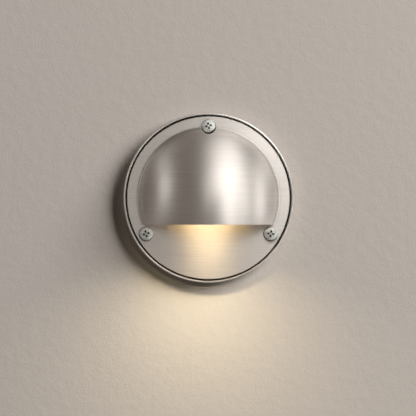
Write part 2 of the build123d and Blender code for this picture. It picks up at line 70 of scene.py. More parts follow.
def new_finish(name, colour, roughness, metallic=0.0):
    """A material and its shader, with what is the same all over the surface."""
    finish = bpy.data.materials.new(name)
    finish.use_nodes = True
    shader = finish.node_tree.nodes["Principled BSDF"]
    shader.inputs["Base Color"].default_value = (*colour, 1)
    shader.inputs["Roughness"].default_value = roughness
    shader.inputs["Metallic"].default_value = metallic
    return finish, shader


def add(finish, kind, inputs=None, **settings):
    """Add a node to a finish; an input is a plain value or another node's output."""
    tree = finish.node_tree
    node = tree.nodes.new("ShaderNode" + kind)
    for name, value in settings.items():
        setattr(node, name, value)
    for socket, value in (inputs or {}).items():
        if isinstance(value, bpy.types.NodeSocket):
            tree.links.new(value, node.inputs[socket])
        else:
            node.inputs[socket].default_value = value
    return node


def plug(finish, output, shader, socket):
    """Lead a node's output into a socket of the shader."""
    finish.node_tree.links.new(output, shader.inputs[socket])


def reckon(finish, operation, *values):
    """One step of arithmetic on numbers or outputs."""
    return add(finish, "Math", dict(enumerate(values)), operation=operation).outputs[0]


def vectors(finish, operation, first, second):
    """One step of arithmetic on two vectors."""
    return add(finish, "VectorMath", {0: first, 1: second}, operation=operation).outputs["Vector"]


def places(finish):
    """Where a point of the surface is, in metres."""
    return add(finish, "TexCoord").outputs["Object"]


def grains(finish, vector, detail=2.0):
    """Grey noise with one grain to each unit of the vector."""
    return add(finish, "TexNoise", {"Vector": vector, "Scale": 1.0, "Detail": detail}).outputs["Fac"]


def clouds(finish, size, detail=3.0):
    """Grey noise that is alike in all directions, with grains of a size in metres."""
    return grains(finish, vectors(finish, "DIVIDE", places(finish), (size, size, size)), detail)


def spread(finish, noise, low, high):
    """Bring the middle of a noise to the range from low to high."""
    limits = {"Value": noise, "From Min": 0.3, "From Max": 0.7, "To Min": low, "To Max": high}
    return add(finish, "MapRange", limits).outputs["Result"]


def vary_colour(finish, shader, colour, share):
    """Let the colour vary by a share that a pattern gives."""
    tint = add(finish, "VectorMath", {0: colour, "Scale": share}, operation="SCALE")
    plug(finish, tint.outputs["Vector"], shader, "Base Color")


def raise_relief(finish, shader, height, strength, distance):
    """Raise the surface by a pattern, by up to a distance in metres."""
    bump = add(finish, "Bump", {"Height": height, "Strength": strength, "Distance": distance})
    plug(finish, bump.outputs["Normal"], shader, "Normal")


def cloudy_finish(name, colour, roughness, size, depth, metallic=0.0, rough_span=0.06):
    """A finish whose colour and gloss are a little uneven, in patches of a size."""
    finish, shader = new_finish(name, colour, roughness, metallic)
    patches = clouds(finish, size)
    vary_colour(finish, shader, colour, spread(finish, patches, 1 - depth, 1 + depth / 2))
    fine = clouds(finish, size / 3)
    plug(finish, spread(finish, fine, roughness - rough_span, roughness + rough_span), shader, "Roughness")
    return finish, shader


def ground_steel(name, colour, roughness, lines):
    """Steel with fine scratches all one way, which draw each reflection out across them.
    The lines are level, or run round the axis of the light."""
    scratch_width, scratch_length = 0.16 * MM, 14 * MM
    band_width, band_length = 0.7 * MM, 30 * MM
    smudge_size = 24 * MM
    finish, shader = new_finish(name, colour, roughness, metallic=1.0)
    shader.inputs["Anisotropic"].default_value = 0.75
    split = add(finish, "SeparateXYZ", {"Vector": places(finish)})
    x, y, z = split.outputs
    if lines == "round":
        flat = add(finish, "CombineXYZ", {"X": x, "Z": z}).outputs["Vector"]
        radius = add(finish, "VectorMath", {0: flat}, operation="LENGTH").outputs["Value"]
        along = reckon(finish, "MULTIPLY", reckon(finish, "ARCTAN2", z, x), GRIND_RADIUS)
        across = reckon(finish, "ADD", radius, y)
        line = vectors(finish, "CROSS_PRODUCT", flat, (0, 1, 0))
    else:
        along, across, line = x, z, (1, 0, 0)
    normal = add(finish, "NewGeometry").outputs["Normal"]
    plug(finish, vectors(finish, "CROSS_PRODUCT", normal, line), shader, "Tangent")

    def streaks(width, length):
        lengthwise = reckon(finish, "DIVIDE", along, length)
        crosswise = reckon(finish, "DIVIDE", across, width)
        drawn_out = add(finish, "CombineXYZ", {"X": lengthwise, "Y": crosswise})
        return grains(finish, drawn_out.outputs["Vector"])

    scratches = streaks(scratch_width, scratch_length)
    bands = streaks(band_width, band_length)
    grain = reckon(finish, "MULTIPLY", reckon(finish, "ADD", scratches, bands), 0.5)
    vary_colour(finish, shader, colour, spread(finish, grain, 0.90, 1.09))
    smudges = spread(finish, clouds(finish, smudge_size), -0.02, 0.02)
    dullness = reckon(finish, "ADD", spread(finish, scratches, -0.03, 0.03), smudges)
    plug(finish, reckon(finish, "ADD", dullness, roughness), shader, "Roughness")
    raise_relief(finish, shader, grain, 0.10, 0.02 * MM)
    return finish


def put_on(finish, *names):
    """Give nodes of the frame a finish."""
    for name in names:
        for place in nodes[name].material_slots:
            place.material = finish


put_on(ground_steel("pan_round_ground", STAINLESS, 0.36, "round"), "back_pan")

# Wall gasket
# A ring die-cut from closed-cell foam sheet and glued to the pan's back, which takes up the
# unevenness of the wall. Its cut faces show the cells.
FOAM = (0.045, 0.045, 0.047)
FOAM_CELL = 0.5 * MM
foam, foam_shader = new_finish("cut_foam", FOAM, 0.95)
cells = add(foam, "TexVoronoi", {"Vector": places(foam), "Scale": 1 / FOAM_CELL}).outputs["Distance"]
vary_colour(foam, foam_shader, FOAM, spread(foam, cells, 0.6, 1.3))
raise_relief(foam, foam_shader, cells, 0.5, 0.1 * MM)
put_on(foam, "wall_gasket")

# Posts, spacers and small screws
# Turned from steel and bright zinc plated, which leaves them faintly cloudy. The posts are
# clinched into the pan's floor, the others hold driver board and lamp to the bracket.
zinc = cloudy_finish("bright_zinc", (0.66, 0.67, 0.68), 0.32, 1.6 * MM, 0.16, metallic=1.0)[0]
put_on(zinc, "cover_standoffs", "driver_spacers", "driver_screws", "tray_screws")

# Rubber: cable grommet, lens seal and cover seal
# Moulded black silicone, matt with a slight bloom. The grommet snaps into the pan's floor, and
# the big ring lies in the corner of the pan, where the face plate presses on it.
rubber, rubber_shader = cloudy_finish("black_silicone", (0.006, 0.006, 0.006), 0.7, 3 * MM, 0.4)
rubber_shader.inputs["Specular IOR Level"].default_value = 0.1
raise_relief(rubber, rubber_shader, clouds(rubber, 0.2 * MM), 0.2, 0.03 * MM)
put_on(rubber, "cable_grommet", "lens_gasket", "cover_gasket")

# Bracket and rivets
# Folded from 2 mm aluminium sheet as it comes from the mill, with faint rolling lines, and
# fixed to the pan's floor with two blind rivets. It carries the lamp and takes its heat away.
ALUMINIUM = (0.78, 0.78, 0.79)
ROLL_WIDTH, ROLL_LENGTH = 0.4 * MM, 16 * MM
mill, mill_shader = new_finish("mill_aluminium", ALUMINIUM, 0.38, metallic=1.0)
roll_lines = grains(mill, vectors(mill, "DIVIDE", places(mill), (ROLL_WIDTH, ROLL_LENGTH, ROLL_LENGTH)))
vary_colour(mill, mill_shader, ALUMINIUM, spread(mill, roll_lines, 0.92, 1.04))
plug(mill, spread(mill, roll_lines, 0.32, 0.46), mill_shader, "Roughness")
put_on(mill, "bracket", "bracket_rivets")

# Driver board
# Green glass-fibre board that stands on two spacers in front of the bracket. The solder mask
# is a little paler over the copper tracks, which run square to the edges.
MASK_GREEN = (0.016, 0.115, 0.045)
TRACK_PITCH = 3.4 * MM
board, board_shader = new_finish("green_solder_mask", MASK_GREEN, 0.33)
track_cells = add(
    board,
    "TexVoronoi",
    {"Vector": places(board), "Scale": 1 / TRACK_PITCH, "Randomness": 0.7},
    distance="CHEBYCHEV",
    feature="F1",
).outputs["Distance"]
tracks = add(
    board,
    "MapRange",
    {"Value": track_cells, "From Min": 0.36, "From Max": 0.40, "To Min": 1.7, "To Max": 0.85},
).outputs["Result"]
vary_colour(board, board_shader, MASK_GREEN, tracks)
raise_relief(board, board_shader, tracks, 0.3, 0.03 * MM)
put_on(board, "driver_board")

# Choke coil
# A drum of sintered ferrite with a flange at each end, and enamelled copper wire wound on it
# in layers. Only the outer layer is wound wire by wire, over a plain core.
FERRITE = (0.055, 0.055, 0.06)
COPPER = (0.72, 0.30, 0.12)
WIRE_DIAMETER = 0.4 * MM
WIRE_SIDES, TURN_STEPS = 8, 36
ferrite, ferrite_shader = cloudy_finish("sintered_ferrite", FERRITE, 0.6, 0.25 * MM, 0.4)
raise_relief(ferrite, ferrite_shader, clouds(ferrite, 0.12 * MM), 0.3, 0.02 * MM)
put_on(ferrite, "coil_core")
copper = cloudy_finish("enamelled_copper", COPPER, 0.28, 0.9 * MM, 0.14, metallic=1.0)[0]


def turn(shell, rows, x, z, steps, finish=0):
    """Add a piece turned about an axis along Y. A row is a depth and a radius, or a depth and a
    rule that gives the radius at each part of a turn. A radius of 0 closes an end."""
    before = None
    made = []
    for depth, radius in rows:
        ring = []
        for step in range(1 if radius == 0 else steps):
            part = step / steps
            reach = radius(part) if callable(radius) else radius
            angle = 2 * math.pi * part
            spot = (x + reach * math.cos(angle), -depth, z + reach * math.sin(angle))
            ring.append(shell.verts.new(spot))
        if before:
            for step in range(steps):
                after = (step + 1) % steps
                corners = [before[step % len(before)], before[after % len(before)]]
                corners += [ring[after % len(ring)], ring[step % len(ring)]]
                face = shell.faces.new(list(dict.fromkeys(corners)))
                face.material_index = finish
                made.append(face)
        before = ring
    return made


def make_piece(shell, name, finishes, body, stands_for=(), corner=35):
    """Turn a worked mesh into a piece on a body. Edges sharper than the corner stay crisp."""
    bmesh.ops.recalc_face_normals(shell, faces=shell.faces)
    mesh = bpy.data.meshes.new(name)
    shell.to_mesh(mesh)
    shell.free()
    for finish in finishes:
        mesh.materials.append(finish)
    mesh.shade_smooth()
    mesh.set_sharp_from_angle(angle=math.radians(corner))
    piece = bpy.data.objects.new(name, mesh)
    bpy.context.scene.collection.objects.link(piece)
    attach(piece, body)
    if stands_for:
        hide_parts(*stands_for)
    return piece


winding_low, winding_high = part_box("coil_winding")
coil_x, coil_z = (winding_low.x + winding_high.x) / 2, (winding_low.z + winding_high.z) / 2
winding_reach = (winding_high.x - winding_low.x) / 2
wire_circle = winding_reach - WIRE_DIAMETER / 2
winding_back, winding_front = -winding_high.y, -winding_low.y
turns = (winding_front - winding_back - WIRE_DIAMETER) / WIRE_DIAMETER
coil = bmesh.new()
core_radius = wire_circle - WIRE_DIAMETER / 4
core_rows = [(winding_back, 0), (winding_back, core_radius)]
core_rows += [(winding_front, core_radius), (winding_front, 0)]
turn(coil, core_rows, coil_x, coil_z, TURN_STEPS)
rings = []
for step in range(int(turns * TURN_STEPS) + 1):
    angle = 2 * math.pi * step / TURN_STEPS
    depth = winding_back + WIRE_DIAMETER * (0.5 + step / TURN_STEPS)
    ring = []
    for side in range(WIRE_SIDES):
        round_wire = 2 * math.pi * side / WIRE_SIDES
        reach = wire_circle + WIRE_DIAMETER / 2 * math.cos(round_wire)
        lift = WIRE_DIAMETER / 2 * math.sin(round_wire)
        spot = (coil_x + reach * math.cos(angle), -depth - lift, coil_z + reach * math.sin(angle))
        ring.append(coil.verts.new(spot))
    rings.append(ring)
for first, second in zip(rings, rings[1:]):
    for side in range(WIRE_SIDES):
        after = (side + 1) % WIRE_SIDES
        coil.faces.new((first[side], first[after], second[after], second[side]))
coil.faces.new(rings[0])
coil.faces.new(rings[-1])
make_piece(coil, "coil_wire", [copper], "housing", ["coil_winding"], corner=60)

# Smoothing capacitors
# Aluminium cans in a shrunk plastic sleeve with a paler stripe on the minus side. The can's
# bare top has a cross pressed into it, along which it opens if it fails.
SLEEVE = (0.022, 0.028, 0.055)
STRIPE = (0.30, 0.33, 0.40)
CAN_STEPS = 64
STRIPE_STEPS = range(20, 30)
FOOT_IN, FOOT_UP = 0.2 * MM, 0.15 * MM
SLEEVE_ROUND, SLEEVE_LAP, TOP_DIP = 0.45 * MM, 0.55 * MM, 0.2 * MM
SLEEVE_STEPS, VENT_STEPS = 6, 8
CRIMP_LOW, CRIMP_HIGH, CRIMP_DEPTH = 0.9 * MM, 1.7 * MM, 0.35 * MM
VENT_GAP, VENT_RISE, VENT_INSET = 0.28 * MM, 0.12 * MM, 0.15 * MM
ON_SLEEVE, ON_STRIPE, ON_TOP = 0, 1, 2
sleeve = cloudy_finish("shrunk_sleeve", SLEEVE, 0.26, 1.0 * MM, 0.15)[0]
stripe = cloudy_finish("sleeve_stripe", STRIPE, 0.3, 1.0 * MM, 0.12)[0]
can_top = cloudy_finish("can_aluminium", (0.74, 0.74, 0.75), 0.36, 0.5 * MM, 0.1, metallic=1.0)[0]
cans_low, cans_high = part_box("driver_capacitors")
can_radius = (cans_high.z - cans_low.z) / 2
can_z = (cans_low.z + cans_high.z) / 2
can_base, can_front = -cans_high.y, -cans_low.y
top_depth = can_front - TOP_DIP
lap_radius = can_radius - SLEEVE_ROUND - SLEEVE_LAP
cans = bmesh.new()
for can_x in (cans_low.x + can_radius, cans_high.x - can_radius):
    crimp_middle = can_base + (CRIMP_LOW + CRIMP_HIGH) / 2
    rows = [(can_base, 0), (can_base, can_radius - FOOT_IN), (can_base + FOOT_UP, can_radius)]
    rows += [(can_base + CRIMP_LOW, can_radius), (crimp_middle, can_radius - CRIMP_DEPTH)]
    rows += [(can_base + CRIMP_HIGH, can_radius)]
    for step in range(SLEEVE_STEPS + 1):
        bend = math.pi / 2 * step / SLEEVE_STEPS
        depth = can_front - SLEEVE_ROUND * (1 - math.sin(bend))
        rows.append((depth, can_radius - SLEEVE_ROUND * (1 - math.cos(bend))))
    rows += [(can_front, lap_radius), (top_depth, lap_radius)]
    for place, face in enumerate(turn(cans, rows, can_x, can_z, CAN_STEPS, ON_SLEEVE)):
        if place % CAN_STEPS in STRIPE_STEPS:
            face.material_index = ON_STRIPE
    turn(cans, [(top_depth, lap_radius), (top_depth, 0)], can_x, can_z, CAN_STEPS, ON_TOP)
    for quarter in range(4):
        floor_points, roof_points = [], []
        outline = [(VENT_GAP / 2, VENT_GAP / 2)]
        reach = lap_radius - VENT_INSET
        lean = math.asin(VENT_GAP / 2 / reach)
        for step in range(VENT_STEPS + 1):
            angle = lean + (math.pi / 2 - 2 * lean) * step / VENT_STEPS
            outline.append((reach * math.cos(angle), reach * math.sin(angle)))
        for across, up in outline:
            spot = Matrix.Rotation(quarter * math.pi / 2, 2) @ Vector((across, up))
            floor_points.append(cans.verts.new((can_x + spot.x, -top_depth, can_z + spot.y)))
            roof_points.append(cans.verts.new((can_x + spot.x, -top_depth - VENT_RISE, can_z + spot.y)))
        sector = [cans.faces.new(roof_points), cans.faces.new(floor_points)]
        for step in range(len(outline)):
            after = (step + 1) % len(outline)
            upright = (floor_points[step], floor_points[after], roof_points[after], roof_points[step])
            sector.append(cans.faces.new(upright))
        for face in sector:
            face.material_index = ON_TOP
can_finishes = [sleeve, stripe, can_top]
make_piece(cans, "capacitor_cans", can_finishes, "housing", ["driver_capacitors"])

# Chips
# Rectifier and control chip, moulded in black epoxy. Their legs are punched from tinned copper
# and bent down to the board, where they are soldered on.
EPOXY = (0.022, 0.022, 0.023)
LEG_PITCH, LEG_WIDTH, LEG_THICK = 1.27 * MM, 0.42 * MM, 0.15 * MM
LEGS_A_SIDE = 4
CHIP_LENGTH = 5 * MM
LEG_BENDS = [(-0.1, 0.85), (0.18, 0.85), (0.30, 0.075), (0.55, 0.075)]  # mm out of the chip, and up
epoxy, epoxy_shader = cloudy_finish("moulded_epoxy", EPOXY, 0.55, 0.3 * MM, 0.3)
raise_relief(epoxy, epoxy_shader, clouds(epoxy, 0.1 * MM), 0.2, 0.01 * MM)
put_on(epoxy, "driver_chips")
tin = cloudy_finish("soldered_tin", (0.70, 0.70, 0.69), 0.33, 0.4 * MM, 0.15, metallic=1.0)[0]


def block(shell, low, high, edge=0.0, finish=0):
    """Add a block between two corners, with its edges rounded by a radius."""
    size = Vector(high) - Vector(low)
    place = Matrix.Translation((Vector(low) + Vector(high)) / 2) @ Matrix.Diagonal((*size, 1))
    corners = bmesh.ops.create_cube(shell, size=1, matrix=place)["verts"]
    faces = list({face for corner in corners for face in corner.link_faces})
    if edge:
        edges = list({line for corner in corners for line in corner.link_edges})
        rounded = bmesh.ops.bevel(shell, geom=edges, offset=edge, segments=3, profile=0.5, affect="EDGES")
        faces = list({face for corner in rounded["verts"] for face in corner.link_faces})
    for face in faces:
        face.material_index = finish
    return faces


chips_low, chips_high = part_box("driver_chips")
board_face = chips_high.y
legs = bmesh.new()
for chip_x in (chips_low.x + CHIP_LENGTH / 2, chips_high.x - CHIP_LENGTH / 2):
    for edge_z, outwards in ((chips_low.z, -1), (chips_high.z, 1)):
        for leg in range(LEGS_A_SIDE):
            leg_x = chip_x + (leg - (LEGS_A_SIDE - 1) / 2) * LEG_PITCH
            strip = []
            for out, rise in LEG_BENDS:
                for thick in (0, LEG_THICK):
                    for wide in (-LEG_WIDTH / 2, LEG_WIDTH / 2):
                        spot_z = edge_z + outwards * (out * MM + thick * 0.5)
                        spot_y = board_face - rise * MM + LEG_THICK / 2 - thick
                        strip.append(legs.verts.new((leg_x + wide, spot_y, spot_z)))
            legs.faces.new((strip[0], strip[1], strip[3], strip[2]))
            legs.faces.new((strip[-4], strip[-3], strip[-1], strip[-2]))
            for bend in range(len(LEG_BENDS) - 1):
                here, next_bend = strip[4 * bend : 4 * bend + 4], strip[4 * bend + 4 : 4 * bend + 8]
                for first, second in ((0, 1), (1, 3), (3, 2), (2, 0)):
                    legs.faces.new((here[first], here[second], next_bend[second], next_bend[first]))
make_piece(legs, "chip_legs", [tin], "housing")

# Small parts on the driver board
# A row of ceramic capacitors and resistors, fired as small blocks and soldered flat to the board
# by their tinned ends.
SMALL_LENGTH, SMALL_WIDTH, SMALL_CAP = 2.0 * MM, 1.2 * MM, 0.42 * MM
SMALL_HEIGHTS = {"ceramic": 0.9 * MM, "resistor": 0.5 * MM}
SMALL_ROW = ["ceramic", "resistor", "resistor", "ceramic", "resistor", "ceramic", "resistor"]
SMALL_PITCH, SMALL_ABOVE_CHIPS = 3.3 * MM, 2.9 * MM
BODY_WIDE, BODY_TALL, BODY_EDGE = 0.94, 0.95, 0.04 * MM
CAP_LAP, CAP_EDGE = 0.05 * MM, 0.08 * MM
SMALL_FINISHES = {"ceramic": 0, "resistor": 1, "cap": 2}
ceramic = cloudy_finish("fired_ceramic", (0.40, 0.29, 0.18), 0.45, 0.5 * MM, 0.15)[0]
small_parts = bmesh.new()
small_z = chips_high.z + SMALL_ABOVE_CHIPS
for place, kind in enumerate(SMALL_ROW):
    small_x = (place - (len(SMALL_ROW) - 1) / 2) * SMALL_PITCH
    half_wide, half_long, tall = SMALL_WIDTH / 2, SMALL_LENGTH / 2, SMALL_HEIGHTS[kind]
    inner = half_long - SMALL_CAP
    body_low = (small_x - half_wide * BODY_WIDE, board_face - tall * BODY_TALL, small_z - inner - CAP_LAP)
    body_high = (small_x + half_wide * BODY_WIDE, board_face, small_z + inner + CAP_LAP)
    block(small_parts, body_low, body_high, BODY_EDGE, SMALL_FINISHES[kind])
    for end in (-1, 1):
        ends = sorted((small_z + end * inner, small_z + end * half_long))
        cap_low = (small_x - half_wide, board_face - tall, ends[0])
        cap_high = (small_x + half_wide, board_face, ends[1])
        block(small_parts, cap_low, cap_high, CAP_EDGE, SMALL_FINISHES["cap"])
make_piece(small_parts, "board_small_parts", [ceramic, epoxy, tin], "housing")

# Supply terminal
# Grey push-in terminal for the two supply wires, which go in from the left. A white lever over
# each opening lets the wire go again.
LEVER_OFF, LEVER_HALF, LEVER_EDGE = 1.9 * MM, 1.3 * MM, 0.3 * MM
LEVER_LEFT, LEVER_RIGHT = 0.9 * MM, 1.1 * MM
LEVER_PROUD, LEVER_SUNK = 0.5 * MM, 0.4 * MM
grey, grey_shader = cloudy_finish("grey_moulding", (0.40, 0.41, 0.42), 0.48, 2 * MM, 0.07)
raise_relief(grey, grey_shader, clouds(grey, 0.12 * MM), 0.2, 0.015 * MM)
put_on(grey, "supply_terminal")
WHITE_MOULDING = (0.82, 0.81, 0.78)
moulding, moulding_shader = cloudy_finish("white_moulding", WHITE_MOULDING, 0.46, 4 * MM, 0.05)
raise_relief(moulding, moulding_shader, clouds(moulding, 0.15 * MM), 0.15, 0.02 * MM)
terminal_low, terminal_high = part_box("supply_terminal")
levers = bmesh.new()
terminal_middle = (terminal_low.z + terminal_high.z) / 2
for lever_z in (terminal_middle - LEVER_OFF, terminal_middle + LEVER_OFF):
    lever_low = (terminal_low.x + LEVER_LEFT, terminal_low.y - LEVER_PROUD, lever_z - LEVER_HALF)
    lever_high = (terminal_high.x - LEVER_RIGHT, terminal_low.y + LEVER_SUNK, lever_z + LEVER_HALF)
    block(levers, lever_low, lever_high, LEVER_EDGE)
make_piece(levers, "terminal_levers", [moulding], "housing")

# Sockets of the LED leads
# White mouldings, one on each board, with a round mouth for each lead on the right and a window
# over each contact in front.
LEAD_RADIUS = 0.7 * MM
SOCKET_EDGE = 0.22 * MM
WINDOW_LEFT, WINDOW_RIGHT, WINDOW_HALF = 1.4 * MM, 2.4 * MM, 0.45 * MM
WINDOW_PROUD, WINDOW_SUNK = 0.02 * MM, 0.3 * MM
MOUTH_STEPS = 24
MOUTH_OUTER, MOUTH_INNER = LEAD_RADIUS + 0.35 * MM, LEAD_RADIUS + 0.02 * MM
MOUTH_ROWS = [(MOUTH_OUTER, -0.2 * MM), (MOUTH_OUTER, 0.25 * MM)]
MOUTH_ROWS += [(MOUTH_INNER, 0.45 * MM), (MOUTH_INNER, -0.2 * MM)]


def lead_socket(name, node, lead_heights):
    """A socket of the size of its node, with its windows facing the viewer."""
    low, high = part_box(node)
    shell = bmesh.new()
    block(shell, low, high, SOCKET_EDGE)
    mouth_y = (low.y + high.y) / 2
    for lead_z in lead_heights:
        window_low = (low.x + WINDOW_LEFT, low.y - WINDOW_PROUD, lead_z - WINDOW_HALF)
        window_high = (high.x - WINDOW_RIGHT, low.y + WINDOW_SUNK, lead_z + WINDOW_HALF)
        block(shell, window_low, window_high, finish=1)
        rings = []
        for reach, out in MOUTH_ROWS:
            ring = []
            for step in range(MOUTH_STEPS):
                angle = 2 * math.pi * step / MOUTH_STEPS
                spot = (high.x + out, mouth_y + reach * math.cos(angle), lead_z + reach * math.sin(angle))
                ring.append(shell.verts.new(spot))
            rings.append(ring)
        for before, ring in zip(rings, rings[1:] + rings[:1]):
            for step in range(MOUTH_STEPS):
                after = (step + 1) % MOUTH_STEPS
                shell.faces.new((before[step], before[after], ring[after], ring[step]))
    make_piece(shell, name, [moulding, tin], "housing", [node])


red_low, red_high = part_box("lead_red")
black_low, black_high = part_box("lead_black")
lead_socket("driver_lead_socket", "output_socket", [red_high.z - LEAD_RADIUS, black_high.z - LEAD_RADIUS])
lead_socket("lamp_lead_socket", "led_socket", [red_low.z + LEAD_RADIUS, black_low.z + LEAD_RADIUS])

# Thermal pad
# A sheet of soft grey silicone filled with ceramic powder, cut to size and pressed between the
# LED board and the bracket's shelf, to take the heat across.
put_on(cloudy_finish("heat_pad", (0.42, 0.45, 0.50), 0.8, 0.3 * MM, 0.12)[0], "thermal_pad")

# LED board, LEDs and reflector
# The board is aluminium with white solder mask. The LEDs are white ceramic packages with a
# fill of yellow phosphor, and the reflector is a white moulding that keeps their light in.
put_on(cloudy_finish("white_solder_mask", (0.84, 0.84, 0.81), 0.4, 2 * MM, 0.04)[0], "led_board")
put_on(moulding, "led_packages", "reflector")
phosphor, phosphor_shader = cloudy_finish("lit_phosphor", (0.95, 0.70, 0.18), 0.4, 0.3 * MM, 0.1)
phosphor_shader.inputs["Emission Color"].default_value = (1.0, 0.80, 0.48, 1)
phosphor_shader.inputs["Emission Strength"].default_value = 12
put_on(phosphor, "led_phosphors")

# Lens
# A block of frosted acrylic, whose flange is clamped over the tray's window. It glows warm
# white, strongest under the middle LED and faintly at its ends.
GLOW_REACH = 11 * MM
GLOW_MIDDLE, GLOW_ENDS = 7.3, 2.8
GLOW_MIDDLE_COLOUR, GLOW_END_COLOUR = (1.0, 0.80, 0.50), (1.0, 0.58, 0.16)
frost, frost_shader = new_finish("frosted_acrylic", (0.92, 0.89, 0.82), 0.55)
frost_x = add(frost, "SeparateXYZ", {"Vector": places(frost)}).outputs["X"]
off_middle = reckon(frost, "DIVIDE", reckon(frost, "ABSOLUTE", frost_x), GLOW_REACH)
steepness = reckon(frost, "MULTIPLY", reckon(frost, "POWER", off_middle, 2), -0.5)
fall = reckon(frost, "EXPONENT", steepness)
glow = reckon(frost, "MULTIPLY_ADD", fall, GLOW_MIDDLE - GLOW_ENDS, GLOW_ENDS)
reddening = tuple(near - far for near, far in zip(GLOW_MIDDLE_COLOUR, GLOW_END_COLOUR))
tint = add(frost, "VectorMath", {0: fall, 1: reddening, 2: GLOW_END_COLOUR}, operation="MULTIPLY_ADD")
plug(frost, tint.outputs["Vector"], frost_shader, "Emission Color")
plug(frost, glow, frost_shader, "Emission Strength")
raise_relief(frost, frost_shader, clouds(frost, 0.12 * MM), 0.3, 0.02 * MM)
put_on(frost, "lens")

# Lamp tray
# White baked enamel on 1 mm steel. It closes the hood above its mouth, and two screws clamp it
# with lens, reflector and LED board up to the bracket's shelf.
enamel, enamel_shader = cloudy_finish("baked_enamel", (0.80, 0.79, 0.76), 0.3, 6 * MM, 0.04)
raise_relief(enamel, enamel_shader, clouds(enamel, 0.8 * MM), 0.12, 0.02 * MM)
put_on(enamel, "lamp_tray")

# Leads
# Two wires of stranded copper in soft insulation, red and black. Their ends are pushed into the
# driver's socket and the LED board's.
for lead, colour in {"lead_red": (0.52, 0.025, 0.02), "lead_black": (0.02, 0.02, 0.02)}.items():
    put_on(cloudy_finish(lead + "_insulation", colour, 0.38, 1.5 * MM, 0.15)[0], lead)

# Face plate with its hood
# One piece of 1.2 mm stainless sheet: the half-dome is pressed out of the round plate and cut
# off straight at the lip, whose outer edge is rubbed round. It is ground in level lines.
HOOD_BALL, HOOD_BALL_DEPTH = 45.24 * MM, -9.44 * MM
LIP_DROP, LIP_ROUND, LIP_STEPS = 15.75 * MM, 0.5 * MM, 4
FOOT_DEPTH = 9.3 * MM
# The last three set the painted shade at the hood's foot: where it is darkest, how far it reaches, and how
# much it darkens.
FOOT_RADIUS, FOOT_REACH, FOOT_SHADE_DEPTH = 41.2 * MM, 2.2 * MM, 0.2
EDGE_FROM, EDGE_SPREAD = 47.0 * MM, 0.16 * MM
APEX_REACH, BALL_NEAR, SAME_PLACE = 0.01 * MM, 0.03 * MM, 0.001 * MM
ball_middle = Vector((0, -HOOD_BALL_DEPTH, 0))
level_steel = ground_steel("cover_level_ground", STAINLESS, 0.46, "level")

# Painted shade: the colour is darkened in the hollow where the hood leaves the plate, above the lip,
# standing in for the shade in that corner.
steel_shader = level_steel.node_tree.nodes["Principled BSDF"]
ground_colour = steel_shader.inputs["Base Color"].links[0].from_socket
spot_x, spot_y, spot_z = add(level_steel, "SeparateXYZ", {"Vector": places(level_steel)}).outputs
up_squared = reckon(level_steel, "MULTIPLY", spot_z, spot_z)
out_squared = reckon(level_steel, "MULTIPLY_ADD", spot_x, spot_x, up_squared)
spot_radius = reckon(level_steel, "SQRT", out_squared)
from_foot = reckon(level_steel, "ABSOLUTE", reckon(level_steel, "SUBTRACT", spot_radius, FOOT_RADIUS))
near_foot = add(
    level_steel,
    "MapRange",
    {"Value": from_foot, "From Min": FOOT_REACH, "From Max": 0, "To Min": 0, "To Max": 1},
    interpolation_type="SMOOTHSTEP",
).outputs["Result"]
above_lip = reckon(level_steel, "GREATER_THAN", spot_z, -LIP_DROP)
foot_shade_share = reckon(level_steel, "MULTIPLY", above_lip, FOOT_SHADE_DEPTH)
painted_foot_shade = reckon(level_steel, "MULTIPLY", near_foot, foot_shade_share)
vary_colour(level_steel, steel_shader, ground_colour, reckon(level_steel, "SUBTRACT", 1, painted_foot_shade))

# The sheet is the frame's, with its lip rounded. The smooth shading of the pressed forms is kept.
plate_mesh = nodes["face_plate"].data
pressed_normals = {}
for corner in plate_mesh.loops:
    spot = plate_mesh.vertices[corner.vertex_index].co
    normal = plate_mesh.corner_normals[corner.index].vector.copy()
    if math.hypot(spot.x, spot.z) < APEX_REACH:
        normal = Vector((0, math.copysign(1, normal.y), 0))
    pressed_normals.setdefault(tuple(round(size / SAME_PLACE) for size in spot), []).append(normal)
sheet = bmesh.new()
sheet.from_mesh(plate_mesh)
bmesh.ops.remove_doubles(sheet, verts=sheet.verts, dist=SAME_PLACE / 10)
lip_edges = []
for line in sheet.edges:
    level_ends = all(abs(end.co.z + LIP_DROP) < SAME_PLACE for end in line.verts)
    proud = all((end.co - ball_middle).length > HOOD_BALL - BALL_NEAR for end in line.verts)
    if level_ends and proud and all(-end.co.y > FOOT_DEPTH for end in line.verts):
        lip_edges.append(line)
rounded = bmesh.ops.bevel(
    sheet,
    geom=lip_edges,
    offset=LIP_ROUND,
    segments=LIP_STEPS,
    profile=0.5,
    affect="EDGES",
    clamp_overlap=True,
)
sheet.faces.index_update()
bent = {face.index for face in rounded["faces"]}
sheet.normal_update()
face_mesh = bpy.data.meshes.new("face_sheet")
sheet.to_mesh(face_mesh)
sheet.free()
face_mesh.materials.clear()
face_mesh.materials.append(level_steel)
face_mesh.shade_smooth()
shading = [None] * len(face_mesh.loops)
for face in face_mesh.polygons:
    for corner in face.loop_indices:
        vertex = face_mesh.vertices[face_mesh.loops[corner].vertex_index]
        known = pressed_normals.get(tuple(round(size / SAME_PLACE) for size in vertex.co))
        if known:
            shading[corner] = max(known, key=face.normal.dot)
        elif abs(vertex.co.z + LIP_DROP) < SAME_PLACE:
            shading[corner] = Vector((0, 0, -1))
        elif face.index in bent:
            shading[corner] = vertex.normal
        else:
            shading[corner] = (vertex.co - ball_middle).normalized()

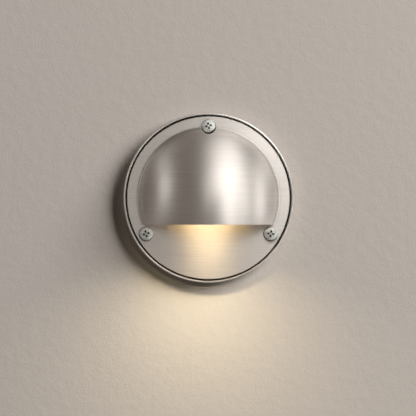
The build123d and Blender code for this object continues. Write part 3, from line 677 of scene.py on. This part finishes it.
# The edge stands a little nearer to the rim than in the frame, which leaves a thin line of the seal.
for vertex in face_mesh.vertices:
    reach = math.hypot(vertex.co.x, vertex.co.z)
    if reach > EDGE_FROM:
        spread_out = 1 + EDGE_SPREAD / reach
        vertex.co = (vertex.co.x * spread_out, vertex.co.y, vertex.co.z * spread_out)
face_mesh.normals_split_custom_set(shading)
face_sheet = bpy.data.objects.new("face_sheet", face_mesh)
bpy.context.scene.collection.objects.link(face_sheet)
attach(face_sheet, "cover")
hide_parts("face_plate")

# Sealing washers
# Black silicone rings under the heads of the cover screws, squeezed until they bulge out all round. The
# black that shows beside the heads is partly this real rubber and partly painted shadow: each ring is
# shifted a little off the middle, so more of it shows on the side where the head's shadow falls.
WASHER_HOLE, WASHER_FACE, WASHER_BULGE = 2.4 * MM, 3.9 * MM, 4.25 * MM
WASHER_SHADOW_SHIFT = {
    "top": (0.12 * MM, -0.42 * MM),
    "left": (-0.12 * MM, -0.05 * MM),
    "right": (-0.15 * MM, -0.1 * MM),
}
WASHER_STEPS = 64
BULGE_ROWS = 8
for side, (shadow_shift_x, shadow_shift_z) in WASHER_SHADOW_SHIFT.items():
    node = "screw_washer_" + side
    low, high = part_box(node)
    washer_back, washer_front = -high.y, -low.y
    thick = washer_front - washer_back
    rows = [(washer_back, WASHER_HOLE)]
    for row in range(BULGE_ROWS + 1):
        bend = math.pi * row / BULGE_ROWS
        depth = washer_back + thick / 2 * (1 - math.cos(bend))
        rows.append((depth, WASHER_FACE + (WASHER_BULGE - WASHER_FACE) * math.sin(bend)))
    rows += [(washer_front, WASHER_HOLE), (washer_back, WASHER_HOLE)]
    ring = bmesh.new()
    turn(ring, rows, (low.x + high.x) / 2 + shadow_shift_x, (low.z + high.z) / 2 + shadow_shift_z, WASHER_STEPS)
    bmesh.ops.remove_doubles(ring, verts=ring.verts, dist=SAME_PLACE)
    make_piece(ring, "washer_" + side, [rubber], side + "_washer", [node], corner=60)

# Cover screws
# Stainless machine screws M4 with a low pan head and a cross recess that has a pin in the
# middle. They are a little stained from the weather, and go through the washers into the posts.
SCREW_STEEL = (0.63, 0.645, 0.62)
SCREW_STEPS = 64
PITCH = 0.7 * MM
THREAD_ROWS = 8
CREST, ROOT = 2.0 * MM, 1.58 * MM
SEAT_DEPTH, CROWN_DEPTH = 9.4 * MM, 12.5 * MM
CROWN_RADIUS, SHOULDER = 17 * MM, 0.9 * MM
HEAD_STEPS = 8
TIP_BEVEL, SEAT_EDGE = 0.5 * MM, 0.2 * MM
RECESS_SPAN, RECESS_WIDTH, RECESS_TAPER = 4.1 * MM, 1.05 * MM, 0.5
RECESS_DEPTH, RECESS_OVER = 2.1 * MM, 0.65 * MM
RECESS_TURNS = {"top": 12, "left": 15, "right": -8}
PIN_BASE, PIN_TOP, PIN_BELOW = 0.9 * MM, 0.75 * MM, 0.15 * MM
stain, stain_shader = cloudy_finish(
    "stained_screw_steel", SCREW_STEEL, 0.5, 0.8 * MM, 0.3, metallic=0.75, rough_span=0.1
)
raise_relief(stain, stain_shader, clouds(stain, 0.35 * MM), 0.25, 0.03 * MM)
# Painted shade: the faces cut by the cross recess get a near-black finish that stands in for the shade
# inside the recess.
recess_shade = cloudy_finish("recess_painted_shade", (0.04, 0.04, 0.038), 0.7, 0.3 * MM, 0.3, metallic=0.3)[0]


def loose_mesh(shell, name, finish):
    """A mesh that only serves to make another."""
    bmesh.ops.recalc_face_normals(shell, faces=shell.faces)
    mesh = bpy.data.meshes.new(name)
    shell.to_mesh(mesh)
    shell.free()
    mesh.materials.append(finish)
    holder = bpy.data.objects.new(name, mesh)
    bpy.context.scene.collection.objects.link(holder)
    return holder


for side, recess_turn in RECESS_TURNS.items():
    node = "cover_screw_" + side
    low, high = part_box(node)
    screw_x, screw_z = (low.x + high.x) / 2, (low.z + high.z) / 2
    head_radius = (high.x - low.x) / 2
    tip = -high.y
    thread_start, thread_end = tip + TIP_BEVEL, SEAT_DEPTH - PITCH
    rows = [(tip, 0), (tip, ROOT - TIP_BEVEL / 2), (tip + TIP_BEVEL / 2, ROOT)]
    row_count = round((thread_end - thread_start) / PITCH * THREAD_ROWS)
    for row in range(row_count + 1):
        depth = thread_start + (thread_end - thread_start) * row / row_count
        fade = min(1, row / THREAD_ROWS, (row_count - row) / THREAD_ROWS)

        def ridge(part, depth=depth, fade=fade):
            slope = abs(2 * ((depth / PITCH - part) % 1) - 1)
            return ROOT + (CREST - ROOT) * slope * fade

        rows.append((depth, ridge))
    rows += [(SEAT_DEPTH, ROOT), (SEAT_DEPTH, head_radius - SEAT_EDGE)]
    rows += [(SEAT_DEPTH + SEAT_EDGE, head_radius)]
    crown_middle = CROWN_DEPTH - CROWN_RADIUS
    shoulder_reach = head_radius - SHOULDER
    shoulder_depth = crown_middle + math.sqrt((CROWN_RADIUS - SHOULDER) ** 2 - shoulder_reach**2)
    crown_slope = math.atan2(shoulder_reach, shoulder_depth - crown_middle)
    for step in range(HEAD_STEPS + 1):
        bend = (math.pi / 2 - crown_slope) * step / HEAD_STEPS
        depth = shoulder_depth + SHOULDER * math.sin(bend)
        rows.append((depth, shoulder_reach + SHOULDER * math.cos(bend)))
    for step in range(1, HEAD_STEPS):
        bend = crown_slope * (1 - step / HEAD_STEPS)
        rows.append((crown_middle + CROWN_RADIUS * math.cos(bend), CROWN_RADIUS * math.sin(bend)))
    rows.append((CROWN_DEPTH, 0))
    blank_shell = bmesh.new()
    turn(blank_shell, rows, screw_x, screw_z, SCREW_STEPS)
    blank = loose_mesh(blank_shell, "screw_blank", stain)
    punch_shell = bmesh.new()
    floor_depth = CROWN_DEPTH - RECESS_DEPTH
    widening = 1 + (1 - RECESS_TAPER) * RECESS_OVER / RECESS_DEPTH
    for bar_turn in (recess_turn, recess_turn + 90):
        spin = Matrix.Rotation(math.radians(bar_turn), 2)
        ends = []
        for depth, size in ((floor_depth, RECESS_TAPER), (CROWN_DEPTH + RECESS_OVER, widening)):
            end = []
            for across, up in ((-1, -1), (1, -1), (1, 1), (-1, 1)):
                spot = spin @ Vector((across * RECESS_SPAN / 2 * size, up * RECESS_WIDTH / 2 * size))
                end.append(punch_shell.verts.new((screw_x + spot.x, -depth, screw_z + spot.y)))
            punch_shell.faces.new(end)
            ends.append(end)
        for corner in range(4):
            after = (corner + 1) % 4
            punch_shell.faces.new((ends[0][corner], ends[0][after], ends[1][after], ends[1][corner]))
    punch = loose_mesh(punch_shell, "recess_punch", recess_shade)
    cut = blank.modifiers.new("recess", "BOOLEAN")
    cut.object, cut.operation, cut.solver = punch, "DIFFERENCE", "EXACT"
    cut.use_self = True
    cut.material_mode = "TRANSFER"
    bpy.context.view_layer.update()
    punched = bpy.data.meshes.new_from_object(blank.evaluated_get(bpy.context.evaluated_depsgraph_get()))
    screw_shell = bmesh.new()
    screw_shell.from_mesh(punched)
    pin_depth = CROWN_DEPTH - PIN_BELOW
    pin_rows = [(floor_depth - SEAT_EDGE, 0), (floor_depth - SEAT_EDGE, PIN_BASE)]
    pin_rows += [(pin_depth - SEAT_EDGE, PIN_TOP + SEAT_EDGE / 4)]
    pin_rows += [(pin_depth, PIN_TOP - SEAT_EDGE / 2), (pin_depth, 0)]
    turn(screw_shell, pin_rows, screw_x, screw_z, SCREW_STEPS)
    for used in (blank, punch):
        used_mesh = used.data
        bpy.data.objects.remove(used)
        bpy.data.meshes.remove(used_mesh)
    make_piece(screw_shell, "screw_" + side, [stain, recess_shade], side + "_screw", [node], corner=40)

# Stage: the wall behind the light, and a floor well below it
# Plain painted surfaces, which can be looked through from behind, and from a few millimetres
# in front, so that the back of the light shows and is lit in other views.
WALL = (0.68, 0.622, 0.572)
FLOOR = (0.62, 0.59, 0.56)
FLOOR_DROP = 0.9
STAGE_HALF = 2.0
WALL_GAP = 0.1 * MM
NEAR_REACH = 4 * MM
PLASTER_LUMP, PLASTER_GRAIN, PLASTER_RISE = 6 * MM, 1.1 * MM, 0.4 * MM


def one_sided(name, colour):
    """A matt paint that is seen only from the front of its sheet."""
    finish, shader = new_finish(name, colour, 0.9)
    shader.inputs["Specular IOR Level"].default_value = 0.1
    behind = add(finish, "NewGeometry").outputs["Backfacing"]
    close = reckon(finish, "LESS_THAN", add(finish, "LightPath").outputs["Ray Length"], NEAR_REACH)
    through = add(finish, "BsdfTransparent").outputs["BSDF"]
    either = reckon(finish, "MAXIMUM", behind, close)
    mixed = add(finish, "MixShader", {"Fac": either, 1: shader.outputs["BSDF"], 2: through})
    plug(finish, mixed.outputs["Shader"], finish.node_tree.nodes["Material Output"], "Surface")
    return finish, shader


stage = bpy.data.collections.new("stage")
bpy.context.scene.collection.children.link(stage)


def stage_sheet(name, colour, corners):
    """A flat sheet of the stage, whose front is where its corners run anticlockwise."""
    mesh = bpy.data.meshes.new(name)
    mesh.from_pydata(corners, [], [(0, 1, 2, 3)])
    paint, shader = one_sided(name + "_paint", colour)
    fine = reckon(paint, "MULTIPLY", clouds(paint, PLASTER_GRAIN), 0.5)
    raise_relief(paint, shader, reckon(paint, "ADD", clouds(paint, PLASTER_LUMP), fine), 0.5, PLASTER_RISE)
    mesh.materials.append(paint)
    sheet = bpy.data.objects.new(name, mesh)
    stage.objects.link(sheet)
    return sheet


left, right, far, near = -STAGE_HALF, STAGE_HALF, WALL_GAP, -2 * STAGE_HALF
down, up = -FLOOR_DROP, STAGE_HALF
wall = stage_sheet("wall", WALL, [(left, far, down), (right, far, down), (right, far, up), (left, far, up)])
floor_corners = [(left, near, down), (right, near, down), (right, far, down), (left, far, down)]
floor = stage_sheet("floor", FLOOR, floor_corners)
# The steel mirrors the room and the lamps, not these sheets, and the floor throws no light back up
floor.visible_diffuse = floor.visible_glossy = wall.visible_glossy = False

# Studio light
# Soft boxes round the light, brightest a little to the right of the camera and weak on the left,
# one lamp for the wall and one for the floor. Four small ones carry the light of the lens to the
# wall and to the plate under the lip.
BOX_WHITE = (1, 0.985, 0.965)
off_stage = bpy.data.collections.new("off_stage")
for sheet in stage.objects:
    off_stage.objects.link(sheet)
for linked in off_stage.collection_objects:
    linked.light_linking.link_state = "EXCLUDE"


def soft_box(name, place, aim, width, height, radiance, colour=BOX_WHITE, receivers=off_stage):
    """A flat lamp at a place, that faces another point."""
    lamp = bpy.data.lights.new(name, "AREA")
    lamp.shape = "RECTANGLE"
    lamp.size, lamp.size_y = width, height
    lamp.energy = radiance * math.pi * width * height
    lamp.color = colour
    box = bpy.data.objects.new(name, lamp)
    box.visible_camera = False
    box.location = place
    box.rotation_euler = (Vector(place) - Vector(aim)).to_track_quat("Z", "Y").to_euler()
    bpy.context.scene.collection.objects.link(box)
    box.light_linking.receiver_collection = receivers
    return box


def round_light(azimuth, elevation, distance):
    """A place round the light: azimuth from the camera to the right, elevation upwards."""
    a, e = math.radians(azimuth), math.radians(elevation)
    return Vector((math.sin(a) * math.cos(e), -math.cos(a) * math.cos(e), math.sin(e))) * distance


middle = (0, 0, 0)
soft_box("key_box", round_light(52, 16, 1.0), middle, 0.46, 1.15, 1.52)
soft_box("low_key_box", round_light(30, -18, 1.0), middle, 0.32, 0.50, 2.75)
soft_box("low_side_box", round_light(52, -30, 1.0), middle, 0.60, 0.46, 0.85)
soft_box("near_box", (0.064, -0.15, 0.068), (0.064, 0, 0.068), 0.090, 0.080, 3.0)
soft_box("front_box", round_light(0, 16, 1.0), middle, 0.2, 0.34, 2.35)
soft_box("side_box", round_light(84, 2, 1.0), middle, 0.34, 1.0, 2.0)
front_pieces = bpy.data.collections.new("front_pieces")
for name in ("face_sheet", "screw_top", "screw_left", "screw_right"):
    front_pieces.objects.link(bpy.data.objects[name])
soft_box("left_box", round_light(-70, 15, 1.0), middle, 0.36, 0.5, 1.65, receivers=front_pieces)
# This one stands for the lit wall on the right, so it shines through the sheet that is the wall
right_box = soft_box("right_box", round_light(110, 8, 1.0), middle, 0.4, 0.8, 0.6, receivers=front_pieces)
right_box.light_linking.blocker_collection = off_stage
soft_box("top_box", (0.45, -0.35, 0.85), middle, 0.6, 0.55, 1.2)
soft_box("high_box", (0.25, -0.30, 0.95), middle, 0.7, 0.55, 0.95)
soft_box("back_box", round_light(205, 30, 1.0), middle, 0.9, 0.9, 0.9)
soft_box("wall_lamp", round_light(52, 27, 3.0), middle, 1.8, 1.8, 10.4, receivers=stage)
floor_only = bpy.data.collections.new("floor_only")
floor_only.objects.link(floor)
soft_box("floor_lamp", (0, -2.5, 2.0), (0, -2.5, -FLOOR_DROP), 3.0, 3.0, 2.6, receivers=floor_only)

# The light of the lens: a wide and a narrow beam down the wall, one down the plate, one along the lip
WALL_GLOW, PLATE_GLOW, LIP_GLOW = (1, 0.845, 0.53), (1, 0.75, 0.42), (1, 0.58, 0.12)
THROW_LEFT, THROW_HEIGHT = -0.003, -0.0165
wide_beam = (0.047, (THROW_LEFT, -0.047, -1), 52.0, 140)
narrow_beam = (0.130, (THROW_LEFT, 0, -0.080), 4.2, 70)
for depth, aim, radiance, beam in (wide_beam, narrow_beam):
    place = (THROW_LEFT, -depth, THROW_HEIGHT)
    throw = soft_box("wall_throw", place, aim, 0.03, 0.01, radiance, WALL_GLOW, stage)
    throw.data.spread = math.radians(beam)
cover_only = bpy.data.collections.new("cover_only")
cover_only.objects.link(face_sheet)
place, aim = (0, -0.045, -0.020), (0, -0.025, -0.070)
soft_box("plate_throw", place, aim, 0.020, 0.010, 8.9, PLATE_GLOW, cover_only)
place, aim = (0.001, -0.018, THROW_HEIGHT), (0.001, -0.009, -0.024)
soft_box("lip_throw", place, aim, 0.048, 0.003, 1.0, LIP_GLOW, cover_only)

# The room round about: dim where the steel mirrors it, dimmer on paint, and pale behind the light
ROOM = (1.0, 0.88, 0.78)
ROOM_IN_METAL, ROOM_ON_PAINT, ROOM_BEHIND = 0.205, 0.04, 0.75
world = bpy.data.worlds.new("room")
world.use_nodes = True
background = world.node_tree.nodes["Background"]
background.inputs["Color"].default_value = (*ROOM, 1)
ray = add(world, "LightPath").outputs
dimmed = reckon(world, "MULTIPLY_ADD", ray["Is Diffuse Ray"], ROOM_ON_PAINT - ROOM_IN_METAL, ROOM_IN_METAL)
level = reckon(world, "MULTIPLY_ADD", ray["Is Camera Ray"], ROOM_BEHIND - ROOM_IN_METAL, dimmed)
plug(world, level, background, "Strength")
bpy.context.scene.world = world

# Camera
# Square on to the wall, far back with a long lens. The picture is 416 pixels wide, and the rim
# of 100 mm is 170.2 of them, with its middle 10.2 pixels above the picture's and 0.5 to the right.
PICTURE_PX, RIM_PX, RIM_ABOVE_PX, RIM_RIGHT_PX = 416, 170.2, 10.2, 0.5
SENSOR = 36
CAMERA_DISTANCE = 2.0
rim_low, rim_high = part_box("back_pan")
pixel = (rim_high.x - rim_low.x) / RIM_PX
camera_data = bpy.data.cameras.new("camera")
camera_data.sensor_width = SENSOR
camera_data.lens = SENSOR * (CAMERA_DISTANCE + rim_low.y) / (PICTURE_PX * pixel)
camera = bpy.data.objects.new("camera", camera_data)
camera.location = (-RIM_RIGHT_PX * pixel, -CAMERA_DISTANCE, -RIM_ABOVE_PX * pixel)
camera.rotation_euler = (math.radians(90), 0, 0)
bpy.context.scene.collection.objects.link(camera)
bpy.context.scene.camera = camera
bpy.context.scene.view_settings.view_transform = "Standard"
